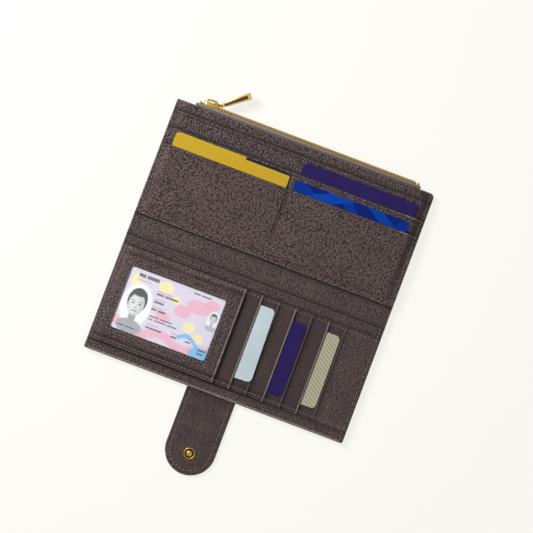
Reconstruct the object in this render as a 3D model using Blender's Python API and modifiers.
"""Continental wallet, open and lying on its back, with a zip pouch and a snap tab.

X runs along the wallet, Y from the tab to the zip, Z up toward the viewer.
The origin is the middle of the spine's outer face. Named lengths are in millimetres
and MM turns them into metres.
"""
import math

import bmesh
import bpy
from mathutils import Matrix, Vector

MM = 0.001

# Cards, the common identity-card size
CARD_LENGTH = 85.6
CARD_WIDTH = 53.98
CARD_THICKNESS = 0.76
CARD_RADIUS = 3.18

# Overall wallet, long enough for two cards side by side
POCKET_ROOM = 21.8
WALLET_LENGTH = 2 * CARD_LENGTH + POCKET_ROOM
HALF_LENGTH = WALLET_LENGTH / 2
SPINE_WIDTH = 15.8
CORNER_RADIUS = 3.0
CORNER_STEPS = 4
SHELL_LEATHER = 1.0
SHELL_LINING = 0.7

# Clearances
LAYER_GAP = 0.1
FOLD_GAP = 0.3
SIDE_REACH = 0.3
PART_GAP = 0.3
OVERRUN = 1.0
FLATNESS = 0.001

# Seams of the pockets
SEAM_WIDTH = 3.2
SEAM_RAMP = 2.2

# Zip pouch and pockets of the upper half, measured along Y from the fold
ZIP_PANEL_THICKNESS = 0.6
POCKET_LEATHER = 0.4
FRONT_LEATHER = 0.6
PANEL_SETBACK = 0.5
BLUE_SHOWS = 7.8
CARD_REST = 0.72
FRONT_POCKET_DEPTH = CARD_WIDTH + PANEL_SETBACK + SEAM_WIDTH + SEAM_RAMP + CARD_REST - BLUE_SHOWS
FRONT_TO_REAR = 12.2
REAR_POCKET_DEPTH = FRONT_POCKET_DEPTH + FRONT_TO_REAR
REAR_TO_SLIP = 12.8
SLIP_POCKET_DEPTH = REAR_POCKET_DEPTH + REAR_TO_SLIP
SLIP_TO_LIP = 6.9
PANEL_DEPTH = SLIP_POCKET_DEPTH + SLIP_TO_LIP
HALF_DEPTH = PANEL_DEPTH + PANEL_SETBACK
CENTRE_SEAM = 0.6
CENTRE_RAMP = 1.7
CENTRE_SHIFT = -0.9
POUCH_LINING = 0.3
POUCH_LINING_INSET = 8.5
LIP_LEFT_RUN = 12.0
LIP_RIGHT_RUN = 9.0
LIP_RAMP = 1.5

# Where the upper cards show: distance past their pocket mouth, and their long edge's place
YELLOW_INSET = 7.6
YELLOW_LEFT = -HALF_LENGTH + YELLOW_INSET
YELLOW_SHOWS = 10.6
PURPLE_LEFT = 2.9
PURPLE_SHOWS = 9.8
BLUE_LEFT = 1.5

# Card panel of the lower half
SLIP_FRONT_THICKNESS = 0.5
CARD_PANEL_SETBACK = 8.1
CARD_SIDE_ROOM = 2.41
CARD_PANEL_DEPTH = CARD_WIDTH + 2 * (SEAM_WIDTH + SEAM_RAMP + CARD_SIDE_ROOM)
BASE_THICKNESS = 0.3
STRIP_THICKNESS = 0.3
WINDOW_PANEL_THICKNESS = 0.6
WINDOW_CARD_INSET = 4.2
WINDOW_CENTRE_X = -HALF_LENGTH + WINDOW_CARD_INSET + CARD_LENGTH / 2
WINDOW_CARD_END = 3.4
FIRST_MOUTH = WINDOW_CENTRE_X + CARD_LENGTH / 2 + WINDOW_CARD_END
BARE_END = 24.0
STRIP_COUNT = 6
MOUTH_PITCH = (HALF_LENGTH - BARE_END - FIRST_MOUTH) / STRIP_COUNT
STRIP_TUCK = 2.0
STRIP_SLOPES = (0.0, 0.005, 0.009, 0.013)
EDGE_RISE_SHARES = ((0.35, 0.4), (0.7, 0.78))
SLOT_CARD_SHOWS = (11.7, 10.6, 10.4)
SLOT_CARD_DROPS = (0.4, -0.7, -0.4)
SLOT_CARD_TURNS = (1.6, 0.0, 0.5)
WINDOW_SIDE_HIDDEN = 7.6
WINDOW_END_HIDDEN = 4.39
WINDOW_LENGTH = CARD_LENGTH - 2 * WINDOW_SIDE_HIDDEN
WINDOW_HEIGHT = CARD_WIDTH - 2 * WINDOW_END_HIDDEN
WINDOW_RADIUS = 1.6
FILM_THICKNESS = 0.2
FILM_MARGIN = 2.6
FILM_RECESS = 0.3

# Zip
TOOTH_PITCH = 1.77
CHAIN_LEFT_INSET = 18.9
CHAIN_RIGHT_INSET = 14.8
CHAIN_LEFT = -HALF_LENGTH + CHAIN_LEFT_INSET
TOOTH_COUNT = int((WALLET_LENGTH - CHAIN_LEFT_INSET - CHAIN_RIGHT_INSET) / TOOTH_PITCH)
TOOTH_WIDTH = 1.0
TOOTH_TIP_WIDTH = 0.62
TOOTH_HEIGHT = 2.2
TOOTH_LENGTH = 2.2
TOOTH_OVERLAP = 0.45
CHAIN_RISE = 3.4
CORD_THICKNESS = 0.8
CORD_DEPTH = 0.6
TAPE_KNEE_DROP = 0.6
TAPE_THICKNESS = 0.4
TAPE_REACH = 2.9
TAPE_TAIL = 8.0
STOP_LENGTH = 2.6
TAPE_OVERHANG = 1.3

# Slider and pull
SLIDER_LENGTH = 11.0
SLIDER_WIDTH = 6.4
SLIDER_PLATE = 0.9
SLIDER_FLANGE = 0.7
INNER_PLATE_WIDTH = 4.6
SLIDER_CORNER_SHARES = (1 / 3, 1 / 6, 1 / 6, 1 / 3)
CHAIN_CLEARANCE = 0.2
SLIDER_FROM_END = 4.6
SLIDER_X = CHAIN_LEFT + SLIDER_FROM_END
CROWN_LENGTH = 8.6
CROWN_HEIGHT = 3.0
CROWN_WALL = 1.3
CROWN_THICKNESS = 1.8
CROWN_ARCH_SHARE = 0.75
LINK_WIRE = 1.2
LINK_LENGTH = 6.1
LINK_WIDTH = 5.0
LINK_ANGLE = 4.0
PULL_LENGTH = 22.0
PULL_ROOT = 2.0
PULL_TIP = 3.9
PULL_WIDTH = 5.6
PULL_TONGUE = 3.8
PULL_TONGUE_WIDTH = 2.6
PULL_ANGLE = 34.0
PULL_BEVEL = 0.35
PULL_SLOT = 4.2
PULL_SLOT_DEPTH = 1.0
PULL_SLOT_SHARE = 0.5

# Tab and snap
TAB_WIDTH = 35.2
TAB_CENTRE_X = -1.1
TAB_LEATHER = 0.9
TAB_LINING = 0.9
TAB_ROOT_OVERLAP = 36.0
TAB_FOLD_SETBACK = 4.8
TAB_END_LENGTH = 32.8
TAB_ARC_STEPS = 20
SNAP_FROM_FOLD = 18.0
SNAP_NEST = 2.6
STUD_HEIGHT = 1.9
STUD_RIM_RADIUS = 4.1
STUD_RIM_WIDTH = 0.75
STUD_RIM_HEIGHT = 0.6
STUD_NECK_RADIUS = 1.8
STUD_HEAD_RADIUS = 2.2
STUD_DOME_SHARES = ((0.5, 0.3), (0.87, 1.0), (1.0, 2.0))
STUD_CREST_SHARES = (0.75, 0.25)
STUD_BORE_DEPTH = 1.1
RIVET_RADIUS = 1.2
RIVET_HEAD_RADIUS = 3.6
RIVET_HEAD_HEIGHT = 0.5
RIVET_CLEARANCE = 0.15
SOCKET_RADIUS = 4.5
SOCKET_OPENING = 2.6
SOCKET_HEIGHT = 1.5
SOCKET_SHOULDER_SHARE = 0.55
SOCKET_CHAMFER = 0.7
METAL_WALL = 0.35
CAP_RADIUS = 5.8
CAP_PROUD = 0.5
CAP_RIM = 0.25
CAP_DOME_SHARES = (0.75, 0.9)
CAP_POST_RISE = 0.8
ROUND_STEPS = 24

# Shading and bevel angles, in degrees
SMOOTH_ANGLE = 35.0
WIRE_SMOOTH_ANGLE = 50.0
BEVEL_ANGLE = 30.0

# Derived heights
HINGE_Z = SHELL_LEATHER + LAYER_GAP + SHELL_LINING
FOLD_Y = SPINE_WIDTH / 2
SHELL_EDGE = FOLD_Y + HALF_DEPTH
PANEL_BOTTOM = FOLD_Y + PANEL_SETBACK
PANEL_TOP = FOLD_Y + PANEL_DEPTH
SEAM_TOP = PANEL_BOTTOM + SEAM_WIDTH
CHAIN_Z = HINGE_Z + LAYER_GAP + TAPE_REACH
CHAIN_Y = PANEL_TOP + CHAIN_RISE
PANEL_SEAM_Z = HINGE_Z + LAYER_GAP
PANEL_LIP_Z = CHAIN_Z + TAPE_REACH + LAYER_GAP
PANEL_SLOPE = (PANEL_LIP_Z - PANEL_SEAM_Z) / (PANEL_TOP - SEAM_TOP)
SLIDER_TOP = CHAIN_Y + TOOTH_HEIGHT / 2 + CHAIN_CLEARANCE + SLIDER_PLATE
CROWN_Y = SLIDER_TOP + (CROWN_HEIGHT - CROWN_WALL) / 2
LINK_X = SLIDER_X + CROWN_LENGTH / 2 - CROWN_WALL - LINK_WIRE / 2 - PART_GAP
TAB_TOP = -PART_GAP
TAB_FOLD_Y = -SHELL_EDGE - TAB_FOLD_SETBACK
CLOSED_TOP = 2 * HINGE_Z + SPINE_WIDTH
RISER_LENGTH = CLOSED_TOP + SNAP_NEST - TAB_TOP
TAB_SECOND_FOLD_Y = TAB_FOLD_Y - RISER_LENGTH
SNAP_Y = TAB_SECOND_FOLD_Y - SNAP_FROM_FOLD
SOCKET_Y = -(TAB_FOLD_Y + SNAP_FROM_FOLD)

# Finishes: base colour, roughness, metallic
TAUPE = ((0.085, 0.066, 0.066, 1.0), 0.55, 0.0)
TAUPE_SMOOTH = ((0.098, 0.076, 0.074, 1.0), 0.48, 0.0)
CLOTH = ((0.22, 0.19, 0.20, 1.0), 0.85, 0.0)
TAPE_CLOTH = ((0.33, 0.28, 0.31, 1.0), 0.8, 0.0)
BRASS = ((0.72, 0.50, 0.16, 1.0), 0.28, 1.0)
OLD_BRASS = ((0.36, 0.25, 0.12, 1.0), 0.35, 1.0)
CLEAR = ((0.9, 0.92, 0.95, 0.3), 0.1, 0.0)
YELLOW = ((0.60, 0.40, 0.03, 1.0), 0.35, 0.0)
PURPLE = ((0.028, 0.018, 0.12, 1.0), 0.35, 0.0)
BLUE = ((0.0, 0.05, 0.45, 1.0), 0.35, 0.0)
PALE = ((0.66, 0.72, 0.74, 1.0), 0.35, 0.0)
CREAM = ((0.55, 0.50, 0.36, 1.0), 0.35, 0.0)
LAVENDER = ((0.66, 0.63, 0.72, 1.0), 0.35, 0.0)


def clear_scene():
    for item in list(bpy.data.objects):
        bpy.data.objects.remove(item, do_unlink=True)


def new_collection(name):
    group = bpy.data.collections.new(name)
    bpy.context.scene.collection.children.link(group)
    return group


def finish_material(name, finish):
    colour, roughness, metallic = finish
    material = bpy.data.materials.new(name)
    material.use_nodes = True
    shader = material.node_tree.nodes["Principled BSDF"]
    shader.inputs["Base Color"].default_value = colour
    shader.inputs["Roughness"].default_value = roughness
    shader.inputs["Metallic"].default_value = metallic
    shader.inputs["Alpha"].default_value = colour[3]
    return material


class Workshop:
    """Collections, joint empties and the two kinds of object: parts and cutters."""

    def __init__(self):
        self.parts = new_collection("continental_wallet")
        self.tools = new_collection("cutters")
        self.empties = {}

    def joint(self, name, place, parent=None):
        empty = bpy.data.objects.new(name, None)
        self.parts.objects.link(empty)
        empty.location = Vector(place) * MM
        if parent is not None:
            empty.parent = self.empties[parent]
            empty.matrix_parent_inverse = world_of(self.empties[parent]).inverted()
        self.empties[name] = empty
        return empty

    def part(self, name, mesh_data, finish, joint):
        """Link a mesh built in millimetres of the wallet frame as a named piece."""
        empty = self.empties[joint]
        item = bpy.data.objects.new(name, mesh_data)
        self.parts.objects.link(item)
        origin = world_of(empty).translation
        mesh_data.transform(Matrix.Scale(MM, 4))
        mesh_data.transform(Matrix.Translation(-origin))
        item.parent = empty
        mesh_data.materials.append(finish_material(name, finish))
        return item

    def tool(self, name, mesh_data):
        item = bpy.data.objects.new(name, mesh_data)
        self.tools.objects.link(item)
        mesh_data.transform(Matrix.Scale(MM, 4))
        item.hide_render = True
        item.display_type = "WIRE"
        return item

    def combine(self, item, tool, operation):
        boolean = item.modifiers.new(operation.lower(), "BOOLEAN")
        boolean.operation = operation
        boolean.solver = "EXACT"
        boolean.object = tool


def world_of(empty):
    """World matrix of an unrotated joint empty, worked out from its parents."""
    place = Matrix.Translation(empty.location)
    if empty.parent is None:
        return place
    return world_of(empty.parent) @ empty.matrix_parent_inverse @ place


def mesh_of(bm, name):
    bmesh.ops.recalc_face_normals(bm, faces=bm.faces[:])
    data = bpy.data.meshes.new(name)
    bm.to_mesh(data)
    bm.free()
    return data


def smooth(item, angle=SMOOTH_ANGLE):
    item.data.shade_smooth()
    item.data.set_sharp_from_angle(angle=math.radians(angle))


def draw_out(bm, step):
    """Give an open surface its thickness along a step."""
    lifted = bmesh.ops.extrude_face_region(bm, geom=bm.faces[:])
    corners = [item for item in lifted["geom"] if isinstance(item, bmesh.types.BMVert)]
    bmesh.ops.translate(bm, verts=corners, vec=step)


def sheet_mesh(name, rows, thickness, rounded=()):
    """A draped sheet from rows of points on its underside, as thick straight up everywhere.

    rounded holds (column, row) of the outline corners that get CORNER_RADIUS.
    """
    bm = bmesh.new()
    grid = [[bm.verts.new(point) for point in row] for row in rows]
    for lower, upper in zip(grid, grid[1:]):
        for i in range(len(lower) - 1):
            bm.faces.new((lower[i], lower[i + 1], upper[i + 1], upper[i]))
    bent = [face for face in bm.faces if is_bent(face)]
    corners = [grid[row][column] for column, row in rounded]
    bmesh.ops.poke(bm, faces=bent)
    if corners:
        bmesh.ops.bevel(bm, geom=corners, offset=CORNER_RADIUS, segments=CORNER_STEPS,
                        profile=0.5, affect="VERTICES")
    draw_out(bm, (0.0, 0.0, thickness))
    return mesh_of(bm, name)


def is_bent(face):
    first, second, third, last = [corner.co for corner in face.verts]
    normal = (second - first).cross(third - first)
    return abs(normal.normalized().dot(last - first)) > FLATNESS


def rectangle(left, right, bottom, top, radii, steps=CORNER_STEPS):
    """Outline with rounded corners, radii in the order bottom left, then counterclockwise."""
    centres = ((left, bottom, 1, 1, 180.0), (right, bottom, -1, 1, 270.0),
               (right, top, -1, -1, 0.0), (left, top, 1, -1, 90.0))
    points = []
    for (x, y, inward_x, inward_y, start), radius in zip(centres, radii):
        if radius == 0:
            points.append((x, y))
            continue
        points += arc(x + inward_x * radius, y + inward_y * radius, radius, start, start + 90.0, steps)
    return points


def arc(centre_x, centre_y, radius, start, end, steps):
    turns = [math.radians(start + (end - start) * i / steps) for i in range(steps + 1)]
    return [(centre_x + radius * math.cos(t), centre_y + radius * math.sin(t)) for t in turns]


def slab_mesh(name, outline, low, thickness, slope_x=0.0, slope_y=0.0):
    """A flat or tilted slab over an XY outline; low is the underside's height at the origin."""
    bm = bmesh.new()
    face = [bm.verts.new((x, y, low + slope_x * x + slope_y * y)) for x, y in outline]
    bm.faces.new(face)
    draw_out(bm, (0.0, 0.0, thickness))
    return mesh_of(bm, name)


def prism_mesh(name, outline, axis, start, end):
    """An outline in the plane across an axis, drawn out along it.

    Its points are (y, z) for axis X, (x, z) for axis Y and (x, y) for axis Z.
    """
    bm = bmesh.new()
    number = "XYZ".index(axis)
    ring = []
    for point in outline:
        place = list(point)
        place.insert(number, start)
        ring.append(bm.verts.new(place))
    bm.faces.new(ring)
    step = Vector((0.0, 0.0, 0.0))
    step[number] = end - start
    draw_out(bm, step)
    return mesh_of(bm, name)


def box_mesh(name, low, high):
    bm = bmesh.new()
    size = Vector(high) - Vector(low)
    place = Matrix.Translation((Vector(high) + Vector(low)) / 2) @ Matrix.Diagonal((*size, 1.0))
    bmesh.ops.create_cube(bm, size=1.0, matrix=place)
    return mesh_of(bm, name)


def rod_mesh(name, centre, radius, low, high):
    bm = bmesh.new()
    place = Matrix.Translation((centre[0], centre[1], (low + high) / 2))
    bmesh.ops.create_cone(bm, cap_ends=True, segments=ROUND_STEPS, radius1=radius, radius2=radius,
                          depth=high - low, matrix=place)
    return mesh_of(bm, name)


def turned(shop, name, profile, centre, finish, joint):
    """A body turned about a vertical axis: profile of (radius, height), closed at the axis."""
    bm = bmesh.new()
    ring = [bm.verts.new((radius, 0.0, height)) for radius, height in profile]
    for first, second in zip(ring, ring[1:]):
        bm.edges.new((first, second))
    if profile[0][0] > 0:
        bm.edges.new((ring[-1], ring[0]))
    bmesh.ops.spin(bm, geom=bm.verts[:] + bm.edges[:], cent=(0, 0, 0), axis=(0, 0, 1),
                   angle=math.tau, steps=ROUND_STEPS, use_merge=True)
    bmesh.ops.remove_doubles(bm, verts=bm.verts[:], dist=FLATNESS)
    bmesh.ops.translate(bm, verts=bm.verts[:], vec=(centre[0], centre[1], 0.0))
    item = shop.part(name, mesh_of(bm, name), finish, joint)
    smooth(item)
    return item


def build_joints(shop):
    shop.joint("lower_half", (0, 0, 0))
    shop.joint("spine", (0, -FOLD_Y, HINGE_Z), "lower_half")
    shop.joint("upper_half", (0, FOLD_Y, HINGE_Z), "spine")
    shop.joint("tab_riser", (TAB_CENTRE_X, TAB_FOLD_Y, TAB_TOP), "lower_half")
    shop.joint("tab_end", (TAB_CENTRE_X, TAB_SECOND_FOLD_Y, TAB_TOP), "tab_riser")
    shop.joint("slider", (SLIDER_X, CHAIN_Y, CHAIN_Z), "upper_half")
    shop.joint("link", (LINK_X, CROWN_Y, CHAIN_Z), "slider")
    shop.joint("pull", (*link_far_end(), CHAIN_Z), "link")


def build_shell(shop):
    """Outer leather and inner lining of both halves and the spine."""
    lining_low = SHELL_LEATHER + LAYER_GAP
    layers = (("leather", 0.0, SHELL_LEATHER, TAUPE), ("lining", lining_low, SHELL_LINING, TAUPE))
    edge = FOLD_GAP / 2
    rounded = CORNER_RADIUS
    spans = (("lower", "lower_half", -SHELL_EDGE, -FOLD_Y - edge, (rounded, rounded, 0, 0)),
             ("spine", "spine", -FOLD_Y + edge, FOLD_Y - edge, (0, 0, 0, 0)),
             ("upper", "upper_half", FOLD_Y + edge, SHELL_EDGE, (0, 0, rounded, rounded)))
    for place, joint, bottom, top, radii in spans:
        for layer, low, thickness, finish in layers:
            name = place + "_shell_" + layer if joint != "spine" else "spine_" + layer
            outline = rectangle(-HALF_LENGTH, HALF_LENGTH, bottom, top, radii)
            item = shop.part(name, slab_mesh(name, outline, low, thickness), finish, joint)
            if joint == "upper_half":
                cut_rivet_hole(shop, item, layer)


def cut_rivet_hole(shop, item, layer):
    """The leather is pierced for the socket's rivet and the lining makes room for its head."""
    radius = (RIVET_RADIUS if layer == "leather" else RIVET_HEAD_RADIUS) + RIVET_CLEARANCE
    rod = rod_mesh("hole", (TAB_CENTRE_X, SOCKET_Y), radius, -OVERRUN, HINGE_Z + OVERRUN)
    shop.combine(item, shop.tool("socket_hole_" + layer, rod), "DIFFERENCE")


def side_lines():
    """Columns shared by every sheet of the upper half, so their slopes never cross."""
    outer = HALF_LENGTH
    seam = outer - SEAM_WIDTH
    inner = seam - SEAM_RAMP - LIP_RAMP
    return outer, seam, inner


def incline(y):
    """Height of the zip panel's underside over the pouch."""
    return PANEL_SEAM_Z + PANEL_SLOPE * (y - SEAM_TOP)


def upper_rows(depths, column_levels, seam_z):
    """Rows of a pocket sheet: flat at its sewn sides and bottom, raised over the pouch.

    column_levels lists (x, raised, level): a raised column follows the incline at its level.
    """
    rows = []
    heights = [PANEL_BOTTOM, SEAM_TOP, SEAM_TOP + SEAM_RAMP] + [FOLD_Y + depth for depth in depths]
    for y in heights:
        row = []
        for x, raised, level in column_levels:
            is_up = raised and y > SEAM_TOP
            row.append((x, y, incline(y) + level if is_up else seam_z))
        rows.append(row)
    return rows


def pocket_levels():
    """Underside of each upper layer above the incline, in the order they are laid."""
    card = CARD_THICKNESS + LAYER_GAP
    slip = ZIP_PANEL_THICKNESS + LAYER_GAP
    rear_left = slip + POCKET_LEATHER + LAYER_GAP
    rear_right = rear_left + card
    yellow = rear_left + POCKET_LEATHER + LAYER_GAP
    blue = rear_right + POCKET_LEATHER + LAYER_GAP
    return {"slip": slip, "purple": rear_left, "rear_left": rear_left, "rear_right": rear_right,
            "yellow": yellow, "blue": blue, "front_left": yellow + card, "front_right": blue + card,
            "valley": yellow}


def build_zip_panel(shop):
    """Front wall of the pouch. Its sides are sewn flat and its top edge stands at the zip."""
    outer, seam, inner = side_lines()
    columns = [(-outer, False, 0), (-seam, False, 0), (-inner, True, 0),
               (inner, True, 0), (seam, False, 0), (outer, False, 0)]
    depths = (FRONT_POCKET_DEPTH, REAR_POCKET_DEPTH, SLIP_POCKET_DEPTH, PANEL_DEPTH)
    rows = upper_rows(depths, columns, PANEL_SEAM_Z)
    shift_left = LIP_LEFT_RUN - (outer - inner)
    shift_right = LIP_RIGHT_RUN - (outer - inner)
    lip = rows[-1]
    lip[2] = (lip[2][0] + shift_left, *lip[2][1:])
    lip[3] = (lip[3][0] - shift_right, *lip[3][1:])
    last = len(rows) - 1
    mesh = sheet_mesh("zip_panel", rows, ZIP_PANEL_THICKNESS, ((0, last), (5, last)))
    shop.part("zip_panel", mesh, TAUPE, "upper_half")


def build_pouch_lining(shop):
    """Thin cloth inside the pouch, one wall on the shell and one under the zip panel."""
    inner = side_lines()[2] - SIDE_REACH
    bottom = SEAM_TOP + (POUCH_LINING + 2 * LAYER_GAP) / PANEL_SLOPE
    top = PANEL_TOP - POUCH_LINING_INSET
    outline = rectangle(-inner, inner, bottom, top, (0, 0, 0, 0))
    back = slab_mesh("pouch_lining_back", outline, HINGE_Z + LAYER_GAP, POUCH_LINING)
    shop.part("pouch_lining_back", back, CLOTH, "upper_half")
    front_bottom = SEAM_TOP + (2 * POUCH_LINING + 3 * LAYER_GAP) / PANEL_SLOPE
    outline = rectangle(-inner, inner, front_bottom, top, (0, 0, 0, 0))
    low = incline(0) - POUCH_LINING - LAYER_GAP
    front = slab_mesh("pouch_lining_front", outline, low, POUCH_LINING, slope_y=PANEL_SLOPE)
    shop.part("pouch_lining_front", front, CLOTH, "upper_half")


def pocket_columns(left, middle_levels, right):
    """Columns of a pocket sheet: sewn ends, and the levels over the cards and at the centre seam."""
    outer, seam, inner = side_lines()
    left_end = CENTRE_SHIFT - CENTRE_SEAM / 2
    right_end = CENTRE_SHIFT + CENTRE_SEAM / 2
    centre = (left_end - CENTRE_RAMP, left_end, right_end, right_end + CENTRE_RAMP,
              right_end + 2 * CENTRE_RAMP)
    columns = [(-outer, False, 0), (-seam, False, 0), (-inner, True, left)]
    columns += [(x, True, level) for x, level in zip(centre, middle_levels)]
    return columns + [(inner, True, right), (seam, False, 0), (outer, False, 0)]


def build_pockets(shop):
    """Slip pocket, rear card pocket and front pocket of the upper half."""
    level = pocket_levels()
    slip = level["slip"]
    low, high = level["rear_left"], level["rear_right"]
    left, valley, right = level["front_left"], level["valley"], level["front_right"]
    rear_middles = (low, low, low, (low + high) / 2, high)
    front_middles = (left, valley, valley, right, right)
    slip_columns = pocket_columns(slip, (), slip)
    rear_columns = pocket_columns(low, rear_middles, high)
    front_columns = pocket_columns(left, front_middles, right)
    pockets = (("slip_pocket", SLIP_POCKET_DEPTH, slip_columns, POCKET_LEATHER),
               ("rear_pocket", REAR_POCKET_DEPTH, rear_columns, POCKET_LEATHER),
               ("front_pocket", FRONT_POCKET_DEPTH, front_columns, FRONT_LEATHER))
    depths = (FRONT_POCKET_DEPTH, REAR_POCKET_DEPTH, SLIP_POCKET_DEPTH)
    seam_z = PANEL_SEAM_Z + ZIP_PANEL_THICKNESS + LAYER_GAP
    for name, depth, columns, thickness in pockets:
        rows = upper_rows([item for item in depths if item <= depth], columns, seam_z)
        shop.part(name, sheet_mesh(name, rows, thickness), TAUPE, "upper_half")
        seam_z += thickness + LAYER_GAP


def build_upper_cards(shop):
    """Three cards that lie on the incline behind the pocket mouths."""
    level = pocket_levels()
    front = FOLD_Y + FRONT_POCKET_DEPTH
    rear = FOLD_Y + REAR_POCKET_DEPTH
    cards = (("yellow_card", YELLOW_LEFT, front + YELLOW_SHOWS, level["yellow"], YELLOW),
             ("upper_purple_card", PURPLE_LEFT, rear + PURPLE_SHOWS, level["purple"], PURPLE),
             ("blue_card", BLUE_LEFT, front + BLUE_SHOWS, level["blue"], BLUE))
    for name, left, top, lift, finish in cards:
        shop.joint(name + "_slide", (left + CARD_LENGTH / 2, top, incline(top) + lift), "upper_half")
        outline = rectangle(left, left + CARD_LENGTH, top - CARD_WIDTH, top, (CARD_RADIUS,) * 4)
        mesh = slab_mesh(name, outline, incline(0) + lift, CARD_THICKNESS, slope_y=PANEL_SLOPE)
        shop.part(name, mesh, finish, name + "_slide")


def strip_mouth(index):
    return FIRST_MOUTH + index * MOUTH_PITCH


class Stack:
    """Lays tilted layers of the lower half on each other and remembers their tops.

    A layer's plane is (height at the middle of the length, slope along X). Each one rests
    on the left end of the layer below, where a steeper one touches first.
    """

    def __init__(self, top):
        self.card_zone = (top, 0.0)
        self.seam_zone = (top, 0.0)

    @staticmethod
    def seat(below, slope, left):
        """Lowest plane of a slope that clears the one below from a left end onward."""
        height, below_slope = below
        return height + LAYER_GAP + (below_slope - slope) * left, slope

    def lay(self, thickness, slope, support_left, is_card=False):
        card_plane = self.seat(self.card_zone, slope, support_left)
        seam_plane = self.seat(self.seam_zone, slope, support_left)
        self.card_zone = (card_plane[0] + thickness, slope)
        if not is_card:
            self.seam_zone = (seam_plane[0] + thickness, slope)
        return card_plane, seam_plane


def card_panel_rows(columns, card_plane, seam_plane):
    """Rows of a strip: low along its sewn top and bottom, high over the cards."""
    top = -FOLD_Y - CARD_PANEL_SETBACK
    bottom = top - CARD_PANEL_DEPTH
    levels = ((bottom, False), (bottom + SEAM_WIDTH, False), (bottom + SEAM_WIDTH + SEAM_RAMP, True),
              (top - SEAM_WIDTH - SEAM_RAMP, True), (top - SEAM_WIDTH, False), (top, False))
    rows = []
    for y, high in levels:
        height, slope = card_plane if high else seam_plane
        rows.append([(x, y, height + slope * x) for x in columns])
    return rows


def card_panel_middle():
    return -FOLD_Y - CARD_PANEL_SETBACK - CARD_PANEL_DEPTH / 2


def build_card_panel(shop):
    """Slip pocket front, card panel base, the six slot strips, their cards and the ID window."""
    front_z = HINGE_Z + LAYER_GAP
    outline = rectangle(-HALF_LENGTH, HALF_LENGTH, -SHELL_EDGE, -FOLD_Y - PANEL_SETBACK,
                        (CORNER_RADIUS, CORNER_RADIUS, 0, 0))
    mesh = slab_mesh("lower_slip_pocket", outline, front_z, SLIP_FRONT_THICKNESS)
    shop.part("lower_slip_pocket", mesh, TAUPE, "lower_half")

    base_z = front_z + SLIP_FRONT_THICKNESS + LAYER_GAP
    top = -FOLD_Y - CARD_PANEL_SETBACK
    outline = rectangle(-HALF_LENGTH, HALF_LENGTH, top - CARD_PANEL_DEPTH, top, (0, 0, 0, 0))
    mesh = slab_mesh("card_panel_base", outline, base_z, BASE_THICKNESS)
    shop.part("card_panel_base", mesh, TAUPE_SMOOTH, "lower_half")

    stack = Stack(base_z + BASE_THICKNESS)
    support = 0.0
    names = ("pale_card", "lower_purple_card", "striped_card")
    finishes = (PALE, PURPLE, CREAM)
    for pocket in (2, 1, 0):
        slope = STRIP_SLOPES[2 - pocket]
        under, over = 2 * pocket + 2, 2 * pocket + 1
        right = strip_mouth(over) + SLOT_CARD_SHOWS[pocket]
        card_left = right - CARD_LENGTH
        left = card_left - STRIP_TUCK
        build_strip(shop, stack, under, left, slope, support)
        card_plane = stack.lay(CARD_THICKNESS, slope, support, is_card=True)[0]
        middle = card_panel_middle() + SLOT_CARD_DROPS[pocket]
        build_flat_card(shop, names[pocket], card_left, middle, card_plane, finishes[pocket],
                        SLOT_CARD_TURNS[pocket])
        build_strip(shop, stack, over, left, slope, support)
        support = left
    build_id_window(shop, stack, support, base_z + BASE_THICKNESS + LAYER_GAP)


def build_strip(shop, stack, number, left, slope, support):
    card_plane, seam_plane = stack.lay(STRIP_THICKNESS, slope, support)
    rows = card_panel_rows((left, strip_mouth(number)), card_plane, seam_plane)
    name = "slot_strip_%d" % number
    shop.part(name, sheet_mesh(name, rows, STRIP_THICKNESS), TAUPE_SMOOTH, "lower_half")


def build_flat_card(shop, name, left, middle, plane, finish, turn=0.0):
    """A card on a tilted plane, turned a little in its slot as a hand leaves it."""
    height, slope = plane
    right = left + CARD_LENGTH
    shop.joint(name + "_slide", (right, middle, height + slope * right), "lower_half")
    outline = rectangle(left, right, middle - CARD_WIDTH / 2, middle + CARD_WIDTH / 2, (CARD_RADIUS,) * 4)
    outline = [turned_point(point, (left + CARD_LENGTH / 2, middle), turn) for point in outline]
    mesh = slab_mesh(name, outline, height, CARD_THICKNESS, slope_x=slope)
    shop.part(name, mesh, finish, name + "_slide")


def turned_point(point, centre, turn):
    across, along = point[0] - centre[0], point[1] - centre[1]
    cosine, sine = math.cos(math.radians(turn)), math.sin(math.radians(turn))
    return centre[0] + cosine * across - sine * along, centre[1] + sine * across + cosine * along


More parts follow.
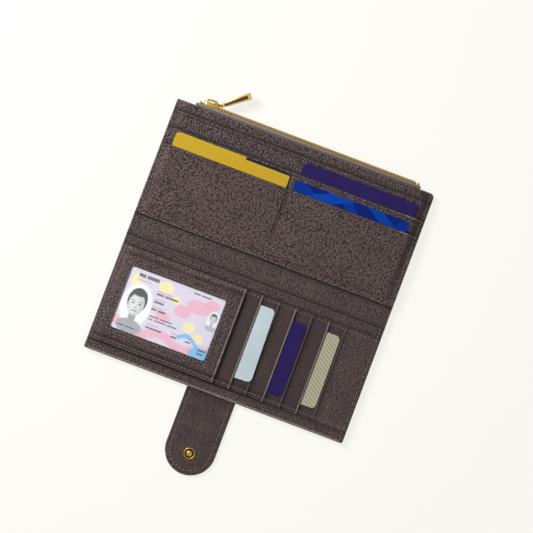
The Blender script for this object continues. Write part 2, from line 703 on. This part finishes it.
def build_id_window(shop, stack, support, edge_z):
    """The windowed panel, the clear film behind its opening and the ID card."""
    slope = STRIP_SLOPES[3]
    card_plane = stack.lay(CARD_THICKNESS, slope, support, is_card=True)[0]
    middle = card_panel_middle()
    card_left = WINDOW_CENTRE_X - CARD_LENGTH / 2
    build_flat_card(shop, "id_card", card_left, middle, card_plane, LAVENDER)

    film_z = card_plane[0] + CARD_THICKNESS + LAYER_GAP
    half_x = WINDOW_LENGTH / 2 + FILM_MARGIN
    half_y = WINDOW_HEIGHT / 2 + FILM_MARGIN
    outline = rectangle(WINDOW_CENTRE_X - half_x, WINDOW_CENTRE_X + half_x,
                        middle - half_y, middle + half_y, (WINDOW_RADIUS,) * 4)
    mesh = slab_mesh("window_film", outline, film_z, FILM_THICKNESS, slope_x=slope)
    shop.part("window_film", mesh, CLEAR, "lower_half")

    panel_plane, seam_plane = stack.lay(FILM_THICKNESS + LAYER_GAP + WINDOW_PANEL_THICKNESS, slope, support)
    lift = FILM_THICKNESS + LAYER_GAP
    raised = card_left - SIDE_REACH
    run = raised + HALF_LENGTH
    columns = [-HALF_LENGTH] + [-HALF_LENGTH + share * run for share, _ in EDGE_RISE_SHARES]
    rows = card_panel_rows(columns + [raised, FIRST_MOUTH], (panel_plane[0] + lift, slope), seam_plane)
    for row in rows:
        rise = row[3][2] - edge_z
        row[0] = (*row[0][:2], edge_z)
        for i, (_, height) in enumerate(EDGE_RISE_SHARES, 1):
            row[i] = (*row[i][:2], edge_z + height * rise)
    mesh = sheet_mesh("window_panel", rows, WINDOW_PANEL_THICKNESS)
    panel = shop.part("window_panel", mesh, TAUPE, "lower_half")
    outline = rectangle(WINDOW_CENTRE_X - WINDOW_LENGTH / 2, WINDOW_CENTRE_X + WINDOW_LENGTH / 2,
                        middle - WINDOW_HEIGHT / 2, middle + WINDOW_HEIGHT / 2, (WINDOW_RADIUS,) * 4)
    hole = prism_mesh("window_hole", outline, "Z", 0.0, panel_plane[0] + WINDOW_LENGTH)
    shop.combine(panel, shop.tool("window_hole", hole), "DIFFERENCE")


def tooth_mesh(name, side, first_x):
    """One tooth: a block on the cord that narrows to a tip past the chain's middle line."""
    bm = bmesh.new()
    bmesh.ops.create_cube(bm, size=1.0)
    length = TOOTH_LENGTH + TOOTH_OVERLAP
    for corner in bm.verts:
        at_tip = corner.co.z < 0
        width = TOOTH_TIP_WIDTH if at_tip else TOOTH_WIDTH
        height = TOOTH_HEIGHT
        across = -TOOTH_OVERLAP if at_tip else length - TOOTH_OVERLAP
        corner.co = Vector((first_x + corner.co.x * width, CHAIN_Y + corner.co.y * height,
                            CHAIN_Z + side * across))
    return mesh_of(bm, name)


def build_teeth(shop):
    """Two rows of teeth, half a pitch apart, each fused to the cord woven into its tape."""
    run = TOOTH_COUNT * TOOTH_PITCH
    for place, side, shift in (("front", 1, 0.0), ("back", -1, TOOTH_PITCH / 2)):
        name = "zip_teeth_" + place
        first = CHAIN_LEFT + shift
        cord_near = side * (TOOTH_LENGTH - CORD_DEPTH)
        cord_far = side * (TOOTH_LENGTH - LAYER_GAP)
        low, high = sorted((CHAIN_Z + cord_near, CHAIN_Z + cord_far))
        cord = box_mesh(name, (CHAIN_LEFT - TOOTH_PITCH, CHAIN_Y - CORD_THICKNESS / 2, low),
                        (CHAIN_LEFT + run + TOOTH_PITCH, CHAIN_Y + CORD_THICKNESS / 2, high))
        item = shop.part(name, cord, BRASS, "upper_half")
        teeth = shop.tool(name + "_blocks", tooth_mesh(name + "_blocks", side, first))
        array = teeth.modifiers.new("teeth", "ARRAY")
        array.count = TOOTH_COUNT
        array.use_relative_offset = False
        array.use_constant_offset = True
        array.constant_offset_displace = (TOOTH_PITCH * MM, 0.0, 0.0)
        shop.combine(item, teeth, "UNION")


def chain_ends():
    left = CHAIN_LEFT - TOOTH_PITCH
    return left, CHAIN_LEFT + (TOOTH_COUNT + 1) * TOOTH_PITCH


def build_tapes(shop):
    """Cloth tapes: from the cord out to the mouth's wall, then down into the pouch."""
    left, right = chain_ends()
    left -= STOP_LENGTH + TAPE_OVERHANG
    right += STOP_LENGTH + TAPE_OVERHANG
    near = TOOTH_LENGTH + LAYER_GAP
    tail = PANEL_TOP - TAPE_TAIL
    knee_y = CHAIN_Y - TAPE_KNEE_DROP
    under = knee_y - TAPE_THICKNESS
    drop = PANEL_SLOPE * (PANEL_TOP - tail)
    reach = CHAIN_Z + TAPE_REACH
    within = reach - TAPE_THICKNESS
    front = [(under, CHAIN_Z + near), (knee_y, CHAIN_Z + near), (knee_y, reach), (PANEL_TOP, reach),
             (tail, reach - drop), (tail, within - drop), (PANEL_TOP, within), (under, within)]
    reach = CHAIN_Z - TAPE_REACH
    within = reach + TAPE_THICKNESS
    back = [(under, CHAIN_Z - near), (knee_y, CHAIN_Z - near), (knee_y, reach), (tail, reach),
            (tail, within), (under, within)]
    for name, outline in (("zip_tape_front", front), ("zip_tape_back", back)):
        shop.part(name, prism_mesh(name, outline, "X", left, right), TAPE_CLOTH, "upper_half")


def build_stops(shop):
    """Metal stops at both ends of the chain."""
    left, right = chain_ends()
    starts = {"zip_top_stop": left - STOP_LENGTH - LAYER_GAP, "zip_bottom_stop": right + LAYER_GAP}
    for name, start in starts.items():
        low = (start, CHAIN_Y - TOOTH_HEIGHT / 2, CHAIN_Z - TOOTH_LENGTH)
        high = (start + STOP_LENGTH, CHAIN_Y + TOOTH_HEIGHT / 2, CHAIN_Z + TOOTH_LENGTH)
        item = shop.part(name, box_mesh(name, low, high), BRASS, "upper_half")
        add_bevel(item, TAPE_THICKNESS)


def add_bevel(item, width, segments=2):
    bevel = item.modifiers.new("edges", "BEVEL")
    bevel.width = width * MM
    bevel.segments = segments
    bevel.limit_method = "ANGLE"
    bevel.angle_limit = math.radians(BEVEL_ANGLE)


def slider_outline(width):
    """Seen along the chain's face: round shoulders in front and a square tail."""
    radii = [width * share for share in SLIDER_CORNER_SHARES]
    return rectangle(SLIDER_X - SLIDER_LENGTH / 2, SLIDER_X + SLIDER_LENGTH / 2,
                     CHAIN_Z - width / 2, CHAIN_Z + width / 2, radii)


def build_slider(shop):
    """Outer plate with its side flanges and crown, and the inner plate inside the pouch."""
    chain_top = CHAIN_Y + TOOTH_HEIGHT / 2
    flange_low = CHAIN_Y - TAPE_KNEE_DROP + CHAIN_CLEARANCE
    outer = prism_mesh("slider_outer_plate", slider_outline(SLIDER_WIDTH), "Y", flange_low, SLIDER_TOP)
    body = shop.part("slider_outer_plate", outer, BRASS, "slider")
    half_channel = SLIDER_WIDTH / 2 - SLIDER_FLANGE
    channel = box_mesh("slider_channel",
                       (SLIDER_X - SLIDER_LENGTH, flange_low - OVERRUN, CHAIN_Z - half_channel),
                       (SLIDER_X + SLIDER_LENGTH, chain_top + CHAIN_CLEARANCE, CHAIN_Z + half_channel))
    shop.combine(body, shop.tool("slider_channel", channel), "DIFFERENCE")
    shop.combine(body, shop.tool("slider_crown", crown_mesh()), "UNION")
    gap_low = CHAIN_Y - TOOTH_HEIGHT / 2 - CHAIN_CLEARANCE
    outline = slider_outline(INNER_PLATE_WIDTH)
    inner = prism_mesh("slider_inner_plate", outline, "Y", gap_low - SLIDER_PLATE, gap_low)
    shop.part("slider_inner_plate", inner, BRASS, "slider")


def crown_mesh():
    """The arch over the slider that the pull's link hangs in."""
    left = SLIDER_X - CROWN_LENGTH / 2
    right = SLIDER_X + CROWN_LENGTH / 2
    base = SLIDER_TOP - SLIDER_PLATE / 2
    top = SLIDER_TOP + CROWN_HEIGHT
    radius = CROWN_HEIGHT * CROWN_ARCH_SHARE
    inner = radius - CROWN_WALL
    outline = [(left, base)] + arc(left + radius, top - radius, radius, 180.0, 90.0, CORNER_STEPS)
    outline += arc(right - radius, top - radius, radius, 90.0, 0.0, CORNER_STEPS) + [(right, base)]
    outline += [(right - CROWN_WALL, base)]
    outline += arc(right - radius, top - radius, inner, 0.0, 90.0, CORNER_STEPS)
    outline += arc(left + radius, top - radius, inner, 90.0, 180.0, CORNER_STEPS)
    outline += [(left + CROWN_WALL, base)]
    half = CROWN_THICKNESS / 2
    return prism_mesh("slider_crown", outline, "Z", CHAIN_Z - half, CHAIN_Z + half)


def link_far_end():
    reach = LINK_LENGTH - LINK_WIRE
    turn = math.radians(LINK_ANGLE)
    return LINK_X + reach * math.cos(turn), CROWN_Y + reach * math.sin(turn)


def build_link(shop):
    """A wire ring: one end lies in the crown, the other in the eye of the pull."""
    far_x, far_y = link_far_end()
    radius = LINK_WIRE
    half = LINK_WIDTH / 2
    reach = LINK_LENGTH - LINK_WIRE
    flat = rectangle(0.0, reach, -half, half, (radius,) * 4)
    curve = bpy.data.curves.new("pull_link", "CURVE")
    curve.dimensions = "3D"
    curve.bevel_depth = LINK_WIRE / 2
    curve.bevel_resolution = 1
    spline = curve.splines.new("POLY")
    spline.points.add(len(flat) - 1)
    along = Vector((far_x - LINK_X, far_y - CROWN_Y, 0.0)) / reach
    for point, (u, v) in zip(spline.points, flat):
        place = Vector((LINK_X, CROWN_Y, CHAIN_Z)) + along * u + Vector((0.0, 0.0, v))
        point.co = (*place, 1.0)
    spline.use_cyclic_u = True
    guide = bpy.data.objects.new("pull_link_guide", curve)
    shop.tools.objects.link(guide)
    bpy.context.view_layer.update()
    mesh = bpy.data.meshes.new_from_object(guide.evaluated_get(bpy.context.evaluated_depsgraph_get()))
    bpy.data.objects.remove(guide, do_unlink=True)
    mesh.name = "pull_link"
    item = shop.part("pull_link", mesh, BRASS, "link")
    smooth(item, WIRE_SMOOTH_ANGLE)


def build_pull(shop):
    """The tapering bar, with an eyed tongue at its root and a slot near its free end."""
    far_x, far_y = link_far_end()
    place = Matrix.Translation((far_x, far_y, CHAIN_Z)) @ Matrix.Rotation(math.radians(PULL_ANGLE), 4, "Z")
    eye = LINK_WIRE / 2 + RIVET_CLEARANCE
    lobe = eye + LINK_WIRE / 2
    neck = PULL_ROOT / 2 - PULL_BEVEL
    tongue_end = PULL_TONGUE + OVERRUN
    tongue = [(0.0, -lobe), (tongue_end, -neck), (tongue_end, neck), (0.0, lobe)]
    tongue += arc(0.0, 0.0, lobe, 90.0, 270.0, 2 * CORNER_STEPS)[1:-1]
    tip = PULL_TIP / 2
    root = [(PULL_TONGUE, -PULL_ROOT / 2), (PULL_LENGTH - PULL_BEVEL, -tip),
            (PULL_LENGTH, PULL_BEVEL - tip), (PULL_LENGTH, tip - PULL_BEVEL),
            (PULL_LENGTH - PULL_BEVEL, tip), (PULL_TONGUE, PULL_ROOT / 2)]
    half = PULL_WIDTH / 2
    bar = prism_mesh("pull_bar", root, "Z", -half, half)
    bar.transform(place)
    item = shop.part("pull_bar", bar, BRASS, "pull")
    half = PULL_TONGUE_WIDTH / 2
    eye_arm = prism_mesh("pull_tongue", tongue, "Z", -half, half)
    eye_arm.transform(place)
    add_bevel(item, PULL_BEVEL)
    shop.combine(item, shop.tool("pull_tongue", eye_arm), "UNION")
    hole = rod_mesh("pull_eye", (0.0, 0.0), eye, -PULL_WIDTH, PULL_WIDTH)
    hole.transform(place)
    shop.combine(item, shop.tool("pull_eye", hole), "DIFFERENCE")
    slot_end = PULL_LENGTH - PULL_TIP
    slot = rectangle(slot_end - PULL_SLOT, slot_end, tip - PULL_SLOT_DEPTH, PULL_TIP, (0, 0, 0, 0))
    half = PULL_WIDTH * PULL_SLOT_SHARE / 2
    cut = prism_mesh("pull_slot", slot, "Z", -half, half)
    cut.transform(place)
    shop.combine(item, shop.tool("pull_slot", cut), "DIFFERENCE")


def tab_outline(top, bottom, round_end):
    left = TAB_CENTRE_X - TAB_WIDTH / 2
    right = TAB_CENTRE_X + TAB_WIDTH / 2
    if not round_end:
        return rectangle(left, right, bottom, top, (0, 0, 0, 0))
    radius = TAB_WIDTH / 2
    end = arc(TAB_CENTRE_X, bottom + radius, radius, 180.0, 360.0, TAB_ARC_STEPS)
    return [(right, top), (left, top)] + end


def build_tab(shop):
    """Three lengths of the closing tab, each of a lining on a leather."""
    edge = FOLD_GAP / 2
    root_top = -SHELL_EDGE + TAB_ROOT_OVERLAP
    spans = (("tab_root", "lower_half", root_top, TAB_FOLD_Y + edge, False),
             ("tab_riser", "tab_riser", TAB_FOLD_Y - edge, TAB_SECOND_FOLD_Y + edge, False),
             ("tab_end", "tab_end", TAB_SECOND_FOLD_Y - edge, TAB_SECOND_FOLD_Y - TAB_END_LENGTH, True))
    lining_low = TAB_TOP - TAB_LINING
    leather_low = lining_low - LAYER_GAP - TAB_LEATHER
    layers = (("lining", lining_low, TAB_LINING), ("leather", leather_low, TAB_LEATHER))
    for place, joint, top, bottom, round_end in spans:
        outline = tab_outline(top, bottom, round_end)
        for layer, low, thickness in layers:
            name = place + "_" + layer
            item = shop.part(name, slab_mesh(name, outline, low, thickness), TAUPE_SMOOTH, joint)
            if round_end:
                hole = rod_mesh("snap_hole", (TAB_CENTRE_X, SNAP_Y), RIVET_RADIUS + RIVET_CLEARANCE,
                                leather_low - OVERRUN, TAB_TOP + OVERRUN)
                shop.combine(item, shop.tool("snap_hole_" + layer, hole), "DIFFERENCE")


def build_snap(shop):
    """Cap and stud on the tab, socket and rivet on the upper half's outside."""
    build_tab_snap(shop, (TAB_CENTRE_X, SNAP_Y))
    build_socket(shop, (TAB_CENTRE_X, SOCKET_Y))


def build_tab_snap(shop, centre):
    """The cap's post passes through the tab into the stud, a domed head in a rimmed dish."""
    under = TAB_TOP - TAB_LINING - LAYER_GAP - TAB_LEATHER - LAYER_GAP / 2
    post_top = TAB_TOP + CAP_POST_RISE
    dome = CAP_DOME_SHARES
    cap = [(0.0, post_top), (RIVET_RADIUS, post_top), (RIVET_RADIUS, under), (CAP_RADIUS, under),
           (CAP_RADIUS, under - CAP_RIM), (CAP_RADIUS * dome[0], under - CAP_PROUD * dome[1]),
           (0.0, under - CAP_PROUD)]
    turned(shop, "snap_cap", cap, centre, OLD_BRASS, "tab_end")
    base = TAB_TOP + LAYER_GAP / 2
    bore = RIVET_RADIUS + RIVET_CLEARANCE
    rim = STUD_RIM_RADIUS
    head = STUD_HEAD_RADIUS
    top = base + STUD_HEIGHT
    inner = rim - STUD_RIM_WIDTH
    stud = [(0.0, top)]
    stud += [(head * across, top - METAL_WALL * down) for across, down in STUD_DOME_SHARES]
    stud += [(STUD_NECK_RADIUS, base + 2 * METAL_WALL), (STUD_NECK_RADIUS, base + METAL_WALL)]
    stud += [(inner, base + METAL_WALL)]
    stud += [(rim - STUD_RIM_WIDTH * share, base + STUD_RIM_HEIGHT) for share in STUD_CREST_SHARES]
    stud += [(rim, base + METAL_WALL), (rim, base), (bore, base)]
    stud += [(bore, base + STUD_BORE_DEPTH), (0.0, base + STUD_BORE_DEPTH)]
    turned(shop, "snap_stud", stud, centre, OLD_BRASS, "tab_end")


def build_socket(shop, centre):
    """A ring with a floor, held by a rivet whose head lies in the shell's lining."""
    face = -LAYER_GAP / 2
    tip = face - SOCKET_HEIGHT
    bore = RIVET_RADIUS + RIVET_CLEARANCE
    shoulder = face - SOCKET_HEIGHT * SOCKET_SHOULDER_SHARE
    floor = face - METAL_WALL
    socket = [(bore, face), (SOCKET_RADIUS, face), (SOCKET_RADIUS, shoulder),
              (SOCKET_RADIUS - SOCKET_CHAMFER, tip), (SOCKET_OPENING + METAL_WALL, tip),
              (SOCKET_OPENING, tip + METAL_WALL), (SOCKET_OPENING, floor), (bore, floor)]
    turned(shop, "snap_socket", socket, centre, OLD_BRASS, "upper_half")
    head_low = SHELL_LEATHER + LAYER_GAP / 2
    rivet = [(0.0, head_low + RIVET_HEAD_HEIGHT), (RIVET_HEAD_RADIUS, head_low + RIVET_HEAD_HEIGHT),
             (RIVET_HEAD_RADIUS, head_low), (RIVET_RADIUS, head_low), (RIVET_RADIUS, face - METAL_WALL),
             (0.0, face - METAL_WALL)]
    turned(shop, "socket_rivet", rivet, centre, OLD_BRASS, "upper_half")


def main():
    clear_scene()
    shop = Workshop()
    build_joints(shop)
    build_shell(shop)
    build_zip_panel(shop)
    build_pouch_lining(shop)
    build_pockets(shop)
    build_upper_cards(shop)
    build_card_panel(shop)
    build_teeth(shop)
    build_tapes(shop)
    build_stops(shop)
    build_slider(shop)
    build_link(shop)
    build_pull(shop)
    build_tab(shop)
    build_snap(shop)
    bpy.context.view_layer.update()


main()
